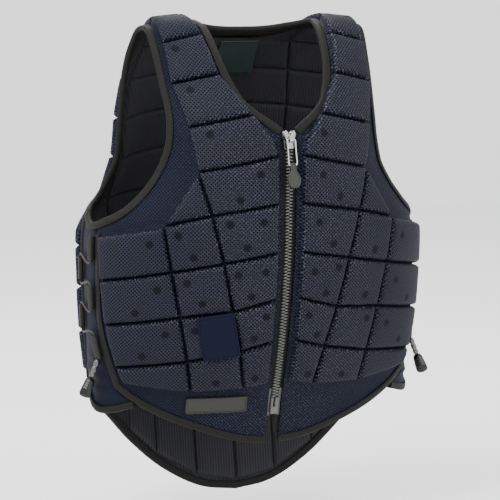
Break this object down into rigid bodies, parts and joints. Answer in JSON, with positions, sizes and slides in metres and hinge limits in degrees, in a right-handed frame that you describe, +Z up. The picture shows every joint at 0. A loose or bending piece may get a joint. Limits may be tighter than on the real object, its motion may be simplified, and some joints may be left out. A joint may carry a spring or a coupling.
{
  "type": "equestrian body protector vest",
  "caption": "Zipped sleeveless body protector: foam blocks quilted under mesh cloth, laced stretch sides, taped edges and a longer rounded back.",
  "frame": {"origin": "midway between the shoulders, at the height where the vest sits on them", "axes": "+Z up, the wearer's front faces -Y, the wearer's left is +X"},
  "size_m": [0.4312, 0.2684, 0.5751],
  "materials": {
    "air_mesh": "matte woven air mesh, navy",
    "side_mesh": "matte stretch mesh, charcoal",
    "edge_tape": "matte woven tape, dark olive grey",
    "zip_tape": "matte woven tape, olive grey",
    "zip_teeth": "satin silver grey",
    "bare_metal": "bright silver",
    "soft_rubber": "matte, dark olive",
    "webbing": "matte woven webbing, grey brown",
    "elastic": "matte braided cord",
    "hook_tape": "smooth dark navy",
    "neck_cloth": "satin woven, dark green",
    "tag_cloth": "satin woven, teal"
  },
  "bodies": {
    "vest": {"armhole_tape_left": "edge_tape", "armhole_tape_right": "edge_tape", "back_edge_tape": "edge_tape", "back_loop_left_1": "webbing", "back_loop_left_2": "webbing", "back_loop_right_1": "webbing", "back_loop_right_2": "webbing", "back_panel": "air_mesh", "care_tag": "tag_cloth", "front_edge_tape_left": "edge_tape", "front_edge_tape_right": "edge_tape", "front_loop_left_1": "webbing", "front_loop_left_2": "webbing", "front_loop_left_3": "webbing", "front_loop_right_1": "webbing", "front_loop_right_2": "webbing", "front_loop_right_3": "webbing", "front_panel_left": "air_mesh", "front_panel_right": "air_mesh", "gusset_tape_left": "edge_tape", "gusset_tape_right": "edge_tape", "hook_loop_tab": "hook_tape", "lace_grip_left": "soft_rubber", "lace_grip_right": "soft_rubber", "lace_left": "elastic", "lace_lock_left": "bare_metal", "lace_lock_right": "bare_metal", "lace_right": "elastic", "neck_label": "neck_cloth", "neck_tape": "edge_tape", "rubber_badge": "soft_rubber", "side_gusset_left": "side_mesh", "side_gusset_right": "side_mesh", "zip_box": "bare_metal", "zip_chain": "zip_teeth", "zip_slider": "bare_metal", "zip_tape_left": "zip_tape", "zip_tape_right": "zip_tape"},
    "zip_pull": {"pull_wire": "bare_metal", "rubber_puller": "soft_rubber"}
  },
  "joints": [
    {"name": "pull_swing", "type": "hinge", "parent": "vest", "child": "zip_pull", "pos_m": [0, -0.12561, -0.11876], "axis": [-1, 0, 0], "range_deg": [0, 120]}
  ]
}
